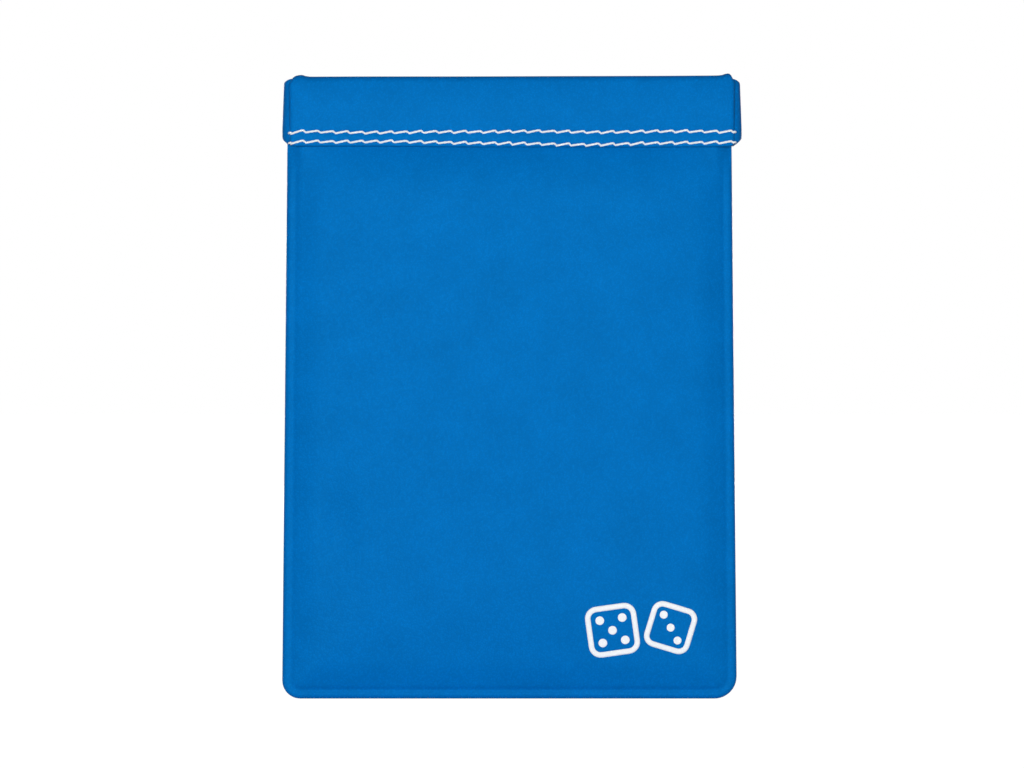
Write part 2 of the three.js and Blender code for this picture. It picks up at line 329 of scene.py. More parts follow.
def knit_backing(name, colour):
    """The knitted cloth on the reverse of leatherette: fine ribs crossed by loops."""
    made = material(name, colour, 0.9, Specular_IOR_Level=0.1, Sheen_Weight=0.25)
    place = grain_of(made)
    heights = []
    for direction, scale in (("X", 0.55), ("Y", 0.4)):
        wave = node(made, "ShaderNodeTexWave", {"Scale": scale, "Distortion": 0.6, "Detail": 1})
        wave.bands_direction = direction
        wire(made, (place, wave.inputs["Vector"]))
        heights.append(wave.outputs["Fac"])
    both = node(made, "ShaderNodeMath", operation="MULTIPLY")
    wire(made, (heights[0], both.inputs[0]), (heights[1], both.inputs[1]))
    bumped(made, both.outputs[0], 0.6, 0.00015)
    tone = mottled(made, place, 0.3, [c * 0.85 for c in colour], [c * 1.1 for c in colour])
    wire(made, (tone, made.node_tree.nodes["Principled BSDF"].inputs["Base Color"]))
    return made


def spun(name, colour, scale):
    """Sewing thread: soft, with fine fibres along it."""
    made = material(name, colour, 0.75, Specular_IOR_Level=0.2, Sheen_Weight=0.3)
    place = grain_of(made)
    fibre = node(made, "ShaderNodeTexNoise", {"Scale": scale, "Detail": 3})
    wire(made, (place, fibre.inputs["Vector"]))
    bumped(made, fibre.outputs["Fac"], 0.3, 0.00005)
    tone = mottled(made, place, scale / 3, [c * 0.9 for c in colour], colour)
    wire(made, (tone, made.node_tree.nodes["Principled BSDF"].inputs["Base Color"]))
    return made


def spring_steel(name):
    """Bright strip with rolling marks along it."""
    colour = (0.52, 0.53, 0.55)
    made = material(name, colour, 0.3, Metallic=1.0)
    where = node(made, "ShaderNodeTexCoord")
    stretch = node(made, "ShaderNodeMapping", {"Scale": (60, 60, 2500)})
    marks = node(made, "ShaderNodeTexNoise", {"Scale": 1.0, "Detail": 4})
    rough = node(made, "ShaderNodeMapRange", {3: 0.22, 4: 0.42})
    wire(
        made,
        (where.outputs["Object"], stretch.inputs["Vector"]),
        (stretch.outputs["Vector"], marks.inputs["Vector"]),
        (marks.outputs["Fac"], rough.inputs[0]),
        (rough.outputs[0], made.node_tree.nodes["Principled BSDF"].inputs["Roughness"]),
    )
    bumped(made, marks.outputs["Fac"], 0.15, 0.00003)
    return made


def ink(name):
    """A thin coat of opaque white that keeps a little of the grain under it."""
    made = material(name, (0.9, 0.92, 0.93), 0.5, Specular_IOR_Level=0.3)
    place = grain_of(made)
    pebble = node(made, "ShaderNodeTexVoronoi", {"Scale": 2.3})
    wire(made, (place, pebble.inputs["Vector"]))
    bumped(made, pebble.outputs["Distance"], 0.2, 0.00006)
    tone = mottled(made, place, 1.5, (0.84, 0.87, 0.9), (0.95, 0.96, 0.97))
    wire(made, (tone, made.node_tree.nodes["Principled BSDF"].inputs["Base Color"]))
    return made


PANEL_SKIN = leatherette("panel_leatherette", (0.0, 0.156, 0.512))
CUFF_SKIN = leatherette("cuff_leatherette", (0.0, 0.155, 0.511))
BACKING = knit_backing("knit_backing", (0.05, 0.13, 0.25))
TOPSTITCH = spun("topstitch_thread", (0.93, 0.94, 0.95), 9.0)
SEAM_THREAD = spun("seam_thread", (0.01, 0.13, 0.4), 9.0)
STEEL = spring_steel("spring_steel")
INK = ink("white_ink")


# ---- the frame fully open, to shape what has to follow it ----


def part_turn(joint, share):
    """The turn about a hinge, a share of the way to its limit."""
    pivot = Matrix.Translation(Vector(joint["pos_m"]))
    angle = share * math.radians(joint["range_deg"][1])
    return pivot @ Matrix.Rotation(angle, 4, Vector(joint["axis"])) @ pivot.inverted()


def opened_bodies():
    """Each body's matrix with the mouth fully open. A parent's joint comes before its child's."""
    places = {frame["joints"][0]["parent"]: Matrix.Identity(4)}
    for joint in frame["joints"]:
        if joint["type"] == "slide":
            step = Matrix.Translation(Vector(joint["axis"]) * joint["range_m"][1])
        else:
            step = part_turn(joint, 1)
        places[joint["child"]] = places[joint["parent"]] @ step
    return places


OPENED = opened_bodies()
JOINTS = {joint["name"]: joint for joint in frame["joints"]}


def opened_place(joint, point, share):
    """Where a point in millimetres goes, that share of the way to the joint's child."""
    matrix = OPENED[joint["parent"]] @ part_turn(joint, share)
    return np.array(matrix @ Vector(np.array(point) * MM)) / MM


def panel_follow():
    """(x, how far a panel has to follow its lean there to stay in the opened cuff's slot)."""
    slot = -(SLOT_Y - PANEL_PLY / 2)
    bend, turn = JOINTS["front_right_bend"], JOINTS["front_right_edge_turn"]
    along = np.linspace(0, PIN_X, 80)
    cuff = np.array(
        [opened_place(bend, (x, slot, MOUTH), 1 - smooth(1 - x / BEND_RUN)) for x in along]
    )
    order = np.argsort(cuff[:, 0])
    follow = []
    for x in along:
        least, most = 0.0, 1.0
        for _ in range(30):
            share = (least + most) / 2
            px, py, _ = opened_place(turn, (x, slot, MOUTH), 1 - share)
            beyond = py < np.interp(px, cuff[order, 0], cuff[order, 1])
            least, most = (least, share) if beyond else (share, most)
        follow.append(most)
    follow = np.array(follow)
    follow[0] = 1.0
    return along, follow


FOLLOW_X, FOLLOW = panel_follow()


def ride_panel(piece):
    """Bakes a piece's transform into its mesh and reads its points back in millimetres; it bends
    nothing.
    """
    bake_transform(piece)
    points = np.zeros(len(piece.data.vertices) * 3, np.float32)
    piece.data.vertices.foreach_get("co", points)
    points = points.reshape(-1, 3) / MM


def ride_cuff(piece):
    """Bakes a piece's transform into its mesh; it bends nothing."""
    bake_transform(piece)


def halves():
    """(face, side, side as built for the front, whether to turn it half round)."""
    for face in FACES:
        for side, sign in SIDES.items():
            yield face, side, sign if face == "front" else -sign, face == "back"


# ---- the bag ----


def straight_half(z, sign):
    """Half width of the bag without its rounded corners. sign is the world's side."""
    share = z / MOUTH
    return BAG_BASE_HALF + (BAG_TOP_HALF - BAG_BASE_HALF) * share + sign * BAG_SHIFT


def half_width(z, sign):
    r = CORNERS[sign]
    over = np.maximum(r - z, 0)
    return straight_half(z, sign) - r + np.sqrt(np.maximum(r**2 - over**2, 0))


def edge_distance(x, z, sign):
    """(distance in from the bag's outline, the direction inwards as x and z) for x on the right."""
    side = straight_half(z, sign) - x
    r = CORNERS[sign]
    dx, dz = x - (straight_half(z, sign) - r), z - r
    reach = np.maximum(np.hypot(dx, dz), 1e-6)
    corner = (dx > 0) & (dz < 0)
    low = (z < side) & ~corner
    distance = np.where(corner, r - reach, np.where(low, z, side))
    inward_x = np.where(corner, -dx / reach, np.where(low, 0.0, -1.0))
    inward_z = np.where(corner, -dz / reach, np.where(low, 1.0, 0.0))
    return np.maximum(distance, 0), inward_x, inward_z


# Soft dents in each panel: x, z, half lengths across and up, depth
DENTS = [
    (-39.6, 40.0, 3.1, 7.5, 1.5),
    (-5.0, 44.5, 6.0, 5.0, 0.2),
    (-45.5, 117.0, 3.0, 6.0, 0.3),
    (12.0, 88.0, 9.0, 14.0, 0.14),
    (30.0, 62.0, 10.0, 8.0, 0.12),
]


def slack(x, z):
    """The unevenness of soft cloth, in millimetres outwards. x is the world's."""
    wave = 0.1 * np.sin(x / 9.0 + z / 31.0) + 0.08 * np.sin(z / 12.0 - x / 23.0 + 1.3)
    dents = sum(d * hump(x, cx, w) * hump(z, cz, h) for cx, cz, w, h, d in DENTS)
    return wave - dents


def panel_face(x, z, sign):
    """How far the panel's outer face stands from the mid-plane, at x on the right."""
    distance, _, inward_z = edge_distance(x, z, sign)
    roll = np.sqrt(np.maximum(1 - (1 - np.minimum(distance / ROLL, 1)) ** 2, 0))
    edge = EDGE_Y + (ROLL_Y - EDGE_Y) * roll
    groove = (0.16 + 0.22 * inward_z) * hump(distance, 2.1, 0.6)
    rise = 0.5 * smooth(distance / SWELL_RUN) + 0.5 * smooth(distance / EDGE_RUN)
    body = edge - groove + rise * (SWELL - ROLL_Y) + rise * slack(sign * x, z)
    tucked = EDGE_Y + (SLOT_Y - EDGE_Y) * smooth(distance / 4)
    return body + (tucked - body) * np.clip(1 - (CUFF_LOW - z) / TUCK_RUN, 0, 1) ** 2


# Distances in from the bag's outline, close together where the turned edge curves
NEAR_EDGE = [0, 0.06, 0.16, 0.32, 0.55, 0.8, 1.1, 1.4, 1.7, 2.0, 2.3, 2.6, 3.0, 3.5, 4.2]
NEAR_EDGE += [5.2, 6.6, 8.4, 10.6, 13.2, 16.2, 19.6, 23.4]
MARGIN_LOW = 125.0  # from here up the margin is cut shorter towards the side seams
SEAM_PLY = 0.25  # how thin a panel is pressed in its side seam
SEAM_PRESS = 0.01  # how far each panel is pressed past the mid-plane there
BOTTOM_CLEAR = 0.06  # how far its turned edge keeps from the mid-plane along the bottom
PLY_CLEAR = 0.05  # and its reverse everywhere else
SLOPE_STEP = 0.02


def panel_half(sign, turned):
    """Half of one panel. It runs from the middle to the side seam, and rolls in at the seam."""
    world = -sign if turned else sign
    inner_columns = np.linspace(1, 0, 9)[1:]
    low = np.array(NEAR_EDGE)
    middle = np.linspace(26.5, 112, 28)
    near_cuff = [114, 115.5, 117, 118.5, 120, 121.3, 122.5, 124, 125, 125.8, 126.4]
    margin = [127, 127.8, 128.8, 130, TUCK_TOP]
    levels = np.concatenate([low, middle, near_cuff, margin])
    outer, inner, grain = [], [], []
    for z0 in levels:
        half = half_width(z0, world)
        near = half - np.array(NEAR_EDGE)
        x = np.concatenate([near, near[-1] * inner_columns])
        distance, _, _ = edge_distance(x, np.full_like(x, z0), world)
        short = 1 - 0.4 * (1 - smooth(distance / 6))
        z = np.where(z0 > MARGIN_LOW, MARGIN_LOW + (z0 - MARGIN_LOW) * short, z0)
        distance, inward_x, inward_z = edge_distance(x, z, world)
        y = panel_face(x, z, world)
        ahead = panel_face(x + inward_x * SLOPE_STEP, z + inward_z * SLOPE_STEP, world)
        steep = np.arctan((ahead - y) / SLOPE_STEP)
        outer.append(np.column_stack([x, -y, z]))
        under_x = x + inward_x * PANEL_PLY * np.sin(steep)
        under_z = z + inward_z * PANEL_PLY * np.sin(steep)
        under_y = y - PANEL_PLY * np.cos(steep)
        seam = distance < 1e-6
        under_x = np.where(seam, x + SEAM_PLY * inward_x, under_x)
        under_z = np.where(seam, z + SEAM_PLY * inward_z, under_z)
        seam_y = -SEAM_PRESS if z0 > CORNERS[world] else BOTTOM_CLEAR
        under_y = np.where(seam, seam_y, np.maximum(under_y, PLY_CLEAR))
        inner.append(np.column_stack([np.maximum(under_x, 0), -under_y, under_z]))
        grain.append(np.column_stack([sign * x, z]))
    shell = Shell()
    outer, inner = mirrored_x(np.array(outer), sign), mirrored_x(np.array(inner), sign)
    shell.ply(outer, inner, np.array(grain))
    return shell


for face, side, sign, turned in halves():
    half = panel_half(sign, turned).piece(f"{face}_panel_{side}", [PANEL_SKIN, BACKING], turned)
    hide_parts(f"{face}_panel")
    ride_panel(half)


# ---- the seam allowances inside the bag ----

ALLOWANCE_IN = (1.5, 5.0)  # from the bag's outline
ALLOWANCE_Y = 0.32  # middle of a side ply, from the mid-plane
ALLOWANCE_PLY = 0.42
BOTTOM_PLIES = 1.0  # both plies along the bottom, sewn flat together


def side_allowance(sign, turned):
    """One turned-in ply along a side seam, a little wavy along its cut edge."""
    world = -sign if turned else sign
    z = np.linspace(CORNERS[1] + 0.4, CUFF_LOW - 0.6, 60)
    shares = np.linspace(0, 1, 7)
    near, far = ALLOWANCE_IN
    middle, borders, grain = [], [], []
    for share in shares:
        inset = near + (far - near) * share + share * 0.15 * np.sin(z / 3.7)
        x = straight_half(z, world) - inset
        y = -ALLOWANCE_Y - 0.06 * share * np.sin(z / 5.1 + 1)
        middle.append(np.column_stack([x, y, z]))
        ends = np.minimum(z - z[0], z[-1] - z)
        edge = min(share, 1 - share) * (far - near)
        borders.append(np.minimum(ends, edge))
        grain.append(np.column_stack([x, z]))
    middle = mirrored_x(np.array(middle), sign)
    normals = np.zeros_like(middle)
    normals[..., 1] = -1
    shell = Shell()
    faces = rounded_ply(middle, normals, ALLOWANCE_PLY, np.array(borders))
    shell.ply(*faces, np.array(grain), inner_skin=0)
    return shell


def bottom_route(inset):
    """Points at that distance in from the bag's outline, from the left side round to the right."""
    r = CORNERS[1] - inset
    turn = np.linspace(0, math.pi / 2, 9)
    right = straight_half(0, 1) - CORNERS[1]
    left = straight_half(0, -1) - CORNERS[1]
    flat = np.linspace(-left, right, 46)[1:-1]
    left_arc = np.column_stack([-left - r * np.cos(turn), CORNERS[1] - r * np.sin(turn)])
    bottom = np.column_stack([flat, np.full_like(flat, inset)])
    right_arc = np.column_stack([right + r * np.sin(turn), CORNERS[1] - r * np.cos(turn)])
    return np.concatenate([left_arc, bottom, right_arc])


def bottom_allowance():
    """The two plies along the bottom and round its corners, as one."""
    near, far = ALLOWANCE_IN
    insets = near + (far - 0.4 - near) * np.linspace(0, 1, 7)
    routes = [bottom_route(inset) for inset in insets]
    middle = np.array([[(x, 0.0, z) for x, z in route] for route in routes])
    grain = middle[..., [0, 2]]
    across = np.minimum(insets - insets[0], insets[-1] - insets)
    along = np.minimum(np.arange(middle.shape[1]), np.arange(middle.shape[1])[::-1]) * 0.8
    borders = np.minimum(across[:, None], along[None, :])
    normals = np.zeros_like(middle)
    normals[..., 1] = -1
    shell = Shell()
    shell.ply(*rounded_ply(middle, normals, BOTTOM_PLIES, borders), grain, inner_skin=0)
    return shell


def thread_tube(shell, route, normal, radius, turns):
    """A two-ply twisted thread along a route of points."""
    route = np.array(route)
    sides = 10
    ahead = np.gradient(route, axis=0)
    ahead /= np.linalg.norm(ahead, axis=1)[:, None]
    across = np.cross(ahead, np.array(normal, float))
    across /= np.linalg.norm(across, axis=1)[:, None]
    out = np.cross(across, ahead)
    twist = np.linspace(0, turns * 2 * math.pi, len(route))[:, None]
    angle = np.arange(sides)[None, :] * 2 * math.pi / sides
    lobes = radius * (0.86 + 0.14 * np.cos(2 * (angle - twist)))
    rings = route[:, None, :] + lobes[..., None] * (
        np.cos(angle)[..., None] * across[:, None, :] + np.sin(angle)[..., None] * out[:, None, :]
    )
    length = np.linalg.norm(route - route[0], axis=1)
    grain = np.stack(np.broadcast_arrays(length[:, None] + route[0, 0], angle), axis=-1)
    shell.tube(rings, grain)


SEAM_IN = 2.3  # the seam, from the bag's outline
SEAM_STITCH = 3.0
SEAM_THREAD_R = 0.16


def seam_run(shell, start, end, y):
    """Small running stitches between two points of the seam, standing on a ply's face."""
    start, end = np.array(start, float), np.array(end, float)
    count = max(round(float(np.linalg.norm(end - start)) / SEAM_STITCH), 1)
    s = np.linspace(0, 1, 9)
    lift = 0.12 * np.sin(s * math.pi) - 0.08
    for i in range(count):
        x, z = (start + (end - start) * ((i + 0.1 + 0.8 * s[:, None]) / count)).T
        route = np.column_stack([x, y - lift, z])
        thread_tube(shell, route, (0, -1, 0), SEAM_THREAD_R, 2)


for face, side, sign, turned in halves():
    ply = side_allowance(sign, turned)
    ply = ply.piece(f"{face}_{side}_seam_allowance", [BACKING], turned)
    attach(ply, f"{face}_{side}_edge")
    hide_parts(f"{face}_{side}_edge")

for side, sign in SIDES.items():
    shell = Shell()
    ends = (CORNERS[1] + 0.6, CUFF_LOW - 1)
    seam = [(sign * (straight_half(z, sign) - SEAM_IN), z) for z in ends]
    seam_run(shell, seam[0], seam[1], -ALLOWANCE_Y - ALLOWANCE_PLY / 2)
    threads = shell.piece(f"{side}_seam_stitches", [SEAM_THREAD])
    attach(threads, f"front_{side}_edge")
    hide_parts(f"{side}_seam_line")

allowance = bottom_allowance().piece("bottom_seam_allowance", [BACKING])
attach(allowance, "bottom")
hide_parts("bottom_edge")

shell = Shell()
route = bottom_route(SEAM_IN)
for i in range(0, len(route) - 1, 2):
    seam_run(shell, route[i], route[min(i + 2, len(route) - 1)], -BOTTOM_PLIES / 2)
threads = shell.piece("bottom_seam_stitches", [SEAM_THREAD])
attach(threads, "bottom")
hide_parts("bottom_seam_line")


# ---- the cuff ----

FOLD_R = (CUFF_OUT - CUFF_IN) / 2
FOLD_Y = -(CUFF_OUT + CUFF_IN) / 2
FOLD_Z = HEIGHT - FOLD_R
INNER_LOW = CUFF_LOW + 0.15
HEM = (131.2, 140.4)  # levels of the hem turned up behind the outer flange, on the spring
HEM_END = 44.5
HEM_PLY = 0.68
CUFF_CORNER = 1.3  # radius of the outer flange's lower corners
ROLL_END = 1.5  # the outer flange rolls in over this distance at its end
ROLL_IN = 0.45
CLOSE_COLUMNS = [49.4, 49.9, 50.3, 50.6, 50.8, 50.92, CUFF_END]
FAR = 9.0  # past any rounding of a cut edge


def row_level(row, x):
    """Height of a topstitch row, which wanders a little. x is the world's on the front."""
    dips = (
        0.24 + 0.22 * hump(x, -28, 13) + 0.1 * hump(x, 18, 9),
        0.68 * hump(x, 15, 27) - 0.28,
    )
    return ROWS_Z[row] - dips[row] + 0.06 * np.sin(x / 4.7 + row) - 0.35 * smooth((-x - 47.5) / 4)


def needle_pull(x, z):
    """How deep the topstitching draws the outer flange in."""
    holes = np.abs(x) / STITCH
    near = hump((holes - np.round(holes)) * STITCH, 0, 0.55)
    rows = [hump(z, row_level(row, x), 0.55) for row in (0, 1)]
    fade = 1 - 0.8 * smooth((np.abs(x) - 45.5) / 2)
    return fade * sum(line * (0.1 + 0.2 * near) for line in rows)


def flange_out(x, z):
    """How far the middle of the outer flange's ply stands from the mid-plane."""
    plump = 0.28 * smooth((z - 131) / 5) * (1 - smooth((z - 137) / 6))
    ripple = 0.05 * np.sin(x / 6.5 + 0.8) * smooth((z - 131) / 4)
    end = np.clip((np.abs(x) - (CUFF_END - ROLL_END)) / ROLL_END, 0, 1)
    plain = CUFF_OUT - CUFF_PLY / 2 + plump + ripple - needle_pull(x, z)
    return plain - ROLL_IN * (1 - np.sqrt(1 - end**2))


def cuff_half(sign):
    """Half of the cuff: outer flange up, over the fold and down the inner flange."""
    near_rows = [0, 0.12, 0.3, 0.55, 0.85, 1.15, 1.5, 1.95, 2.4, 2.8, 3.15, 3.45, 3.75, 4.1, 4.5]
    near_rows += [5.1, 6.0, 7.2, 8.6, 10.2, 11.8, 13.2]
    up = CUFF_LOW + np.array(near_rows)
    down = np.array([13, 11, 8.5, 6, 4.6, 4.0, 3.6, 3.2, 2.6, 1.8, 1.2, 0.9, 0.6, 0.35, 0.15, 0])
    down = INNER_LOW + down
    arc = np.linspace(0, math.pi, 15)
    mid_r = FOLD_R - CUFF_PLY / 2
    x = np.concatenate([np.arange(0, CLOSE_COLUMNS[0], STITCH / 4), CLOSE_COLUMNS])
    rows = []
    for z in up:
        y = -flange_out(sign * x, z)
        rows.append((y, np.full_like(x, z), -1.0, 0.0))
    for angle in arc:
        y = FOLD_Y - mid_r * math.cos(angle)
        z = FOLD_Z + mid_r * math.sin(angle)
        rows.append((np.full_like(x, y), np.full_like(x, z), -math.cos(angle), math.sin(angle)))
    for z in down:
        rows.append((np.full_like(x, FOLD_Y + mid_r), np.full_like(x, z), 1.0, 0.0))
    over = np.clip(x - (CUFF_END - CUFF_CORNER), 0, CUFF_CORNER)
    lift = CUFF_CORNER - np.sqrt(CUFF_CORNER**2 - over**2)
    stand = STAND * hump(x, FOLD_END + 0.5 * sign, 1.1) - 0.75 * smooth((x - 50.0) / 0.9)
    stand = stand + 0.17 * sign * x / CUFF_END
    wander = 0.05 * np.sin(sign * x / 8.0) - 0.2 * hump(sign * x, 15, 27)
    middle, normals, grain = [], [], []
    length = 0.0
    for i, (y, z, ny, nz) in enumerate(rows):
        if i:
            length += math.hypot(y[0] - rows[i - 1][0][0], z[0] - rows[i - 1][1][0])
        rise = (lift + wander) * (1 - smooth((z - CUFF_LOW) / 3.5))
        rise = rise + (stand + 0.4 * wander) * smooth((z - 134) / 8)
        middle.append(np.column_stack([x, y, z + rise]))
        normals.append(np.tile([0.0, ny, nz], (len(x), 1)))
        grain.append(np.column_stack([sign * x, np.full_like(x, length)]))
    middle, normals = np.array(middle), np.array(normals)
    cells = (x[:-1] + x[1:]) / 2
    first_inner = len(up) + len(arc) - 1
    keep = np.ones((len(rows) - 1, len(cells)), bool)
    for step, end in enumerate((50.6, 50.3, 49.8)):  # the fold's end is cut back in steps
        keep[len(up) + 3 + step, cells > end] = False
    keep[len(up) + 6 :, cells > FOLD_END] = False
    keep[first_inner:, cells > INNER_END] = False
    from_low = np.concatenate([up - CUFF_LOW, np.full(len(arc), FAR), down - INNER_LOW])
    borders = np.minimum(from_low[:, None], CUFF_END - x[None, :])
    faces = rounded_ply(middle, normals, CUFF_PLY, borders)
    height = middle[: len(up), :, 2]
    hem = smooth((height - HEM[0]) / 0.8) * (1 - smooth((height - HEM[1]) / 0.8))
    faces[1][: len(up), :, 1] += HEM_PLY * hem * (1 - smooth((x - HEM_END) / 1.2))
    shell = Shell()
    shell.ply(*[mirrored_x(f, sign) for f in faces], np.array(grain), keep)
    return shell


WRAP_PLY = 0.6
WRAP_R = 2.72  # outside, at the bottom
WRAP_R_MOST = 2.56
WRAP_TAPER = 0.6  # how much narrower it is at the top
WRAP_FRONT = -100  # degrees round the pin, from straight outwards
WRAP_BACK = 70


def end_wrap(sign):
    """The sleeve end, wrapped round the hinge. It rides the front arm, and its back edge stops
    short of the back one, which turns towards it as the mouth opens."""
    share = np.array([0, 0.008, 0.02, 0.045, 0.1, 0.2, 0.32, 0.45, 0.58, 0.7, 0.8, 0.88])
    share = np.concatenate([share, [0.94, 0.975, 0.99, 1]])
    middle, normals, grain, borders = [], [], [], []
    for s in share:
        angles = np.radians(np.linspace(WRAP_FRONT, WRAP_BACK - 12 * s, 27))
        facing = np.maximum(np.cos(angles), 0)
        low = CUFF_LOW + 0.35 + 1.0 * facing**2
        high = HEIGHT - 0.6 - 0.45 * facing**2
        z = low + (high - low) * s
        outer = np.minimum(WRAP_R - WRAP_TAPER * (z - CUFF_LOW) / (HEIGHT - CUFF_LOW), WRAP_R_MOST)
        outer = outer - 0.35 * (1 - smooth(s / 0.06)) - 0.25 * smooth((s - 0.96) / 0.04)
        r = outer - WRAP_PLY / 2
        x = PIN_X + r * np.cos(angles)
        y = r * np.sin(angles)
        middle.append(np.column_stack([x, y, z]))
        normals.append(np.column_stack([np.cos(angles), np.sin(angles), np.zeros_like(z)]))
        grain.append(np.column_stack([r * angles + sign * 60, z]))
        borders.append(np.minimum(z - low, high - z))
    shell = Shell()
    faces = rounded_ply(np.array(middle), np.array(normals), WRAP_PLY, np.array(borders))
    shell.ply(*[mirrored_x(f, sign) for f in faces], np.array(grain))
    return shell


def stitch_row(shell, row, sign):
    """Topstitches on the outer flange: each climbs to the right, then drops at its needle hole."""
    s = np.array([0, 0.05, 0.12, 0.22, 0.34, 0.46, 0.58, 0.7, 0.78, 0.83, 0.88, 0.94, 1])
    holes = [k * STITCH for k in range(STITCHES + 1)] + [CUFF_END + 0.15]
    for k, (a, b) in enumerate(zip(holes[:-1], holes[1:])):
        left, right = sorted((sign * a, sign * b))
        climb = 0.5 * (1 + 0.25 * math.sin(2.4 * k + row)) * min(1, (b - a) / STITCH)
        x = left + (right - left + 0.1) * s
        z = row_level(row, x) + climb * np.interp(s, (0, 0.82, 1), (-0.5, 0.5, -0.4))
        ends = 1 - np.abs(2 * s - 1) ** 5
        y = -flange_out(np.clip(x, -CUFF_END, CUFF_END), z) - CUFF_PLY / 2
        y = y - (0.42 * ends - 0.22)
        thread_tube(shell, np.column_stack([x, y, z]), (0, -1, 0), THREAD_R, 2.5)


BOBBIN_R = 0.2


def bobbin_row(shell, row, sign):
    """The same stitches where they come through the inner flange, drawn almost flush."""
    s = np.linspace(0, 1, 7)
    level = ROWS_Z[row] + (0.3 if row else 0.1)
    for k in range(int(INNER_END / STITCH)):
        x = sign * (k + 0.06 + 0.88 * s) * STITCH
        y = -CUFF_IN - 0.24 + 0.12 * (1 - np.abs(2 * s - 1) ** 4)
        z = np.full_like(s, level) + 0.05 * math.sin(3.1 * k)
        thread_tube(shell, np.column_stack([x, y, z]), (0, 1, 0), BOBBIN_R, 2)


for face, side, sign, turned in halves():
    cuff = cuff_half(sign).piece(f"{face}_{side}_cuff", [CUFF_SKIN, BACKING], turned)
    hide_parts(f"{face}_cuff_{side}", f"{face}_cuff_center")
    ride_cuff(cuff)
    for row, level in enumerate(("upper", "lower")):
        shell = Shell()
        stitch_row(shell, row, sign)
        bobbin_row(shell, row, sign)
        stitches = shell.piece(f"{face}_{side}_{level}_stitches", [TOPSTITCH], turned)
        name = f"{face}_topstitch_{level}"
        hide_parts(f"{name}_{side}", f"{name}_center")
        ride_cuff(stitches)

for side, sign in SIDES.items():
    wrap = end_wrap(sign).piece(f"{side}_end_wrap", [CUFF_SKIN, BACKING])
    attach(wrap, f"front_{side}")
    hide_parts(f"{side}_sleeve_end")


# ---- the spring frame ----

BORE_R = 0.95  # middle of the rolled knuckle's wall
JOGGLE = (PIN_X - 4.2, PIN_X - 2.2)  # the strip bends in towards the pin between these
TONGUE = PIN_X - 2.6  # past this it is only as tall as its knuckles
STRIP_MIDDLE = round((STRIP_LOW + STRIP_HIGH) / 2, 4)


def spring_half(sign, levels):
    """A spring strip from the middle out, bent in and rolled into knuckles at its end."""
    flat = np.arange(0, JOGGLE[0], 2.0)
    joggle = np.linspace(JOGGLE[0], JOGGLE[1], 7)
    step = smooth((joggle - JOGGLE[0]) / (JOGGLE[1] - JOGGLE[0]))
    roll = np.radians(np.linspace(-90, 200, 25))
    plan = [(x, -STRIP_Y) for x in flat]
    plan += list(zip(joggle, -STRIP_Y + (STRIP_Y - BORE_R) * step))
    plan += [(PIN_X - 1, -BORE_R)]
    plan += [(PIN_X + BORE_R * math.cos(a), BORE_R * math.sin(a)) for a in roll]
    plan = np.array(plan)
    ahead = np.gradient(plan, axis=0)
    ahead /= np.linalg.norm(ahead, axis=1)[:, None]
    out = np.column_stack([ahead[:, 1], -ahead[:, 0]])
    marks = [STRIP_LOW, STRIP_HIGH] + [z for level in levels for z in level]
    beside = (-0.2, -0.08, 0, 0.08, 0.2)
    z = sorted({round(m + d, 4) for m in marks for d in beside} | {STRIP_MIDDLE})
    z = np.array([v for v in z if STRIP_LOW <= v <= STRIP_HIGH])
    middle = np.array([[(x, y, level) for x, y in plan] for level in z])
    normals = np.array([[(nx, ny, 0.0) for nx, ny in out] for _ in z])
    cells = (z[:-1] + z[1:]) / 2
    in_knuckle = np.any([(cells > a) & (cells < b) for a, b in levels], axis=0)
    past_tongue = (plan[1:, 0] > TONGUE) | (np.arange(len(plan) - 1) > len(flat) + len(joggle))
    keep = ~(~in_knuckle[:, None] & past_tongue[None, :])
    borders = np.minimum(z - STRIP_LOW, STRIP_HIGH - z)[:, None] + np.zeros(len(plan))
    along = np.concatenate([[0], np.cumsum(np.linalg.norm(np.diff(plan, axis=0), axis=1))])
    grain = np.stack(np.meshgrid(along, z), axis=-1)
    faces = rounded_ply(middle, normals, STRIP_T, borders)
    shell = Shell()
    shell.ply(*[mirrored_x(f, sign) for f in faces], grain, keep, inner_skin=0)
    return shell


KNUCKLE_SPACE = 0.3  # between one knuckle and the next
KNUCKLE = (STRIP_HIGH - STRIP_LOW - 2 * KNUCKLE_SPACE) / 3
LEVELS = {
    "front": [
        (STRIP_LOW + KNUCKLE + KNUCKLE_SPACE, STRIP_LOW + 2 * KNUCKLE + KNUCKLE_SPACE),
    ],
    "back": [(STRIP_LOW, STRIP_LOW + KNUCKLE), (STRIP_HIGH - KNUCKLE, STRIP_HIGH)],
}

for face, side, sign, turned in halves():
    strip = spring_half(sign, LEVELS[face]).piece(f"{face}_{side}_spring", [STEEL], turned)
    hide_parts(f"{face}_spring_{side}", f"{face}_spring_center")
    ride_cuff(strip)

for side in SIDES:
    pin = frame["nodes"][f"{side}_hinge_pin"]
    pin.data.materials.clear()
    pin.data.materials.append(STEEL)


# ---- the mark printed on the front: two plain dice ----

INK_LIFT = 0.05  # face of the ink, from the panel
INK_UNDER = 0.01
STROKE = 1.25


def print_points(x, z, lift):
    """Points over the right half of the front panel."""
    y = -panel_face(x, z, 1) - lift
    return np.stack([x, y, z], axis=-1)


def placed(u, v, centre, tilt):
    """A drawing's own u and v, turned and moved to x and z."""
    c, s = math.cos(tilt), math.sin(tilt)
    return centre[0] + u * c - v * s, centre[1] + u * s + v * c


